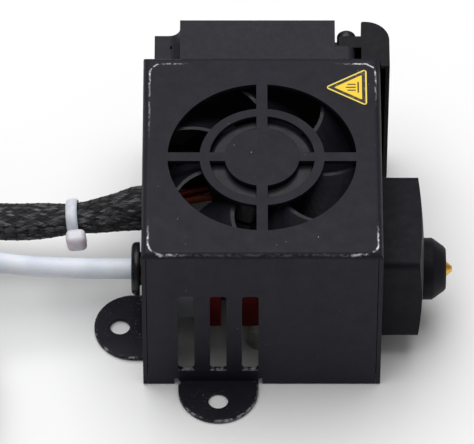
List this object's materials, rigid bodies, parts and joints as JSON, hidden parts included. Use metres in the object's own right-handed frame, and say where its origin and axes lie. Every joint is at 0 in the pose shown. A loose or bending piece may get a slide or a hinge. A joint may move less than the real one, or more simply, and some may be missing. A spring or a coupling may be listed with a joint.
{
  "type": "hotend assembly",
  "caption": "Printer hotend in a folded steel shroud with a grilled axial fan, side blower with slot duct, socked heater block, brass nozzle, feed tube and braided harness.",
  "frame": {"origin": "middle of the two M3 standoffs of the heat sink, on the mounting plane that the ears and the shroud's open edges lie in", "axes": "+X along the nozzle axis towards the tip, +Y from the vent wall to the blower, +Z out of the fan grille"},
  "size_m": [0.1732, 0.1211, 0.0391],
  "materials": {
    "shroud_steel": "fine matt black powder coat on folded steel sheet",
    "label_print": "printed film",
    "fan_plastic": "moulded black PBT, slightly glossy",
    "bright_steel": "ground",
    "magnet": "bonded ferrite",
    "bearing_bronze": "sintered, oil filled",
    "core_steel": "stamped laminations",
    "copper_wire": "enamelled windings",
    "circuit_board": "green solder resist",
    "zinc_steel": "zinc plated",
    "blower_plastic": "moulded PBT, matt",
    "duct_plastic": "moulded ABS, matt",
    "black_steel": "black oxide",
    "red_anodised": "red anodised",
    "plated_brass": "nickel plated",
    "collet_plastic": "moulded acetal",
    "seal_rubber": "nitrile",
    "tube_ptfe": "extruded, waxy white",
    "block_aluminium": "machined",
    "sensor_glass_fibre": "glass fibre sleeve over a bead",
    "nozzle_brass": "turned",
    "sock_silicone": "moulded silicone, matt",
    "red_lead": "silicone insulated lead",
    "white_lead": "glass fibre insulated lead",
    "yellow_lead": "PVC insulated lead",
    "blue_lead": "PVC insulated lead",
    "black_nylon": "moulded nylon",
    "shrink_sleeve": "shrunk polyolefin",
    "braid": "braided PET monofilament, black with grey strands",
    "natural_nylon": "moulded nylon, slightly translucent",
    "plug_nylon": "moulded nylon"
  },
  "bodies": {
    "hotend": {"shroud": "shroud_steel", "warning_label": "label_print", "fan_frame": "fan_plastic", "fan_bearing": "bearing_bronze", "fan_stator": "core_steel", "fan_coils": "copper_wire", "fan_board": "circuit_board", "fan_studs": "zinc_steel", "fan_nuts": "zinc_steel", "blower_case": "blower_plastic", "blower_cover": "blower_plastic", "blower_bearing": "bearing_bronze", "blower_stator": "core_steel", "blower_coils": "copper_wire", "blower_board": "circuit_board", "blower_screw": "black_steel", "blower_nuts": "zinc_steel", "air_duct": "duct_plastic", "duct_screw": "black_steel", "heat_sink": "red_anodised", "sink_standoffs": "plated_brass", "sink_bracket": "zinc_steel", "sink_grub": "black_steel", "coupler_body": "plated_brass", "coupler_seal": "seal_rubber", "tube_liner": "tube_ptfe", "heat_break": "bright_steel", "heater_block": "block_aluminium", "heater_cartridge": "bright_steel", "heater_grub": "black_steel", "temperature_sensor": "sensor_glass_fibre", "sensor_screw": "zinc_steel", "block_screws": "black_steel", "nozzle": "nozzle_brass", "silicone_sock": "sock_silicone", "heater_leads": "red_lead", "sensor_leads": "white_lead", "fan_leads": "yellow_lead", "blower_leads": "blue_lead", "feed_tube": "tube_ptfe", "feed_tube_coil": "tube_ptfe", "feed_tube_tie": "black_nylon", "wire_sleeve": "braid", "wire_sleeve_coil": "braid", "wire_sleeve_tie": "black_nylon", "zip_tie": "natural_nylon", "wire_ends": "shrink_sleeve", "connectors": "plug_nylon"},
    "fan_wheel": {"fan_rotor": "fan_plastic", "fan_shaft": "bright_steel", "fan_magnet": "magnet"},
    "blower_wheel": {"blower_impeller": "fan_plastic", "blower_shaft": "bright_steel", "blower_magnet": "magnet"},
    "collet": {"coupler_collet": "collet_plastic", "coupler_claws": "bright_steel"}
  },
  "joints": [
    {"name": "fan_spin", "type": "hinge", "parent": "hotend", "child": "fan_wheel", "pos_m": [0, 0.00575, 0.033], "axis": [0, 0, 1], "continuous": true},
    {"name": "blower_spin", "type": "hinge", "parent": "hotend", "child": "blower_wheel", "pos_m": [-0.0025, 0.0356, 0.0192], "axis": [0, 1, 0], "continuous": true},
    {"name": "collet_press", "type": "slide", "parent": "hotend", "child": "collet", "axis": [1, 0, 0], "range_m": [0, 0.001], "stiffness_N_per_m": 400}
  ]
}
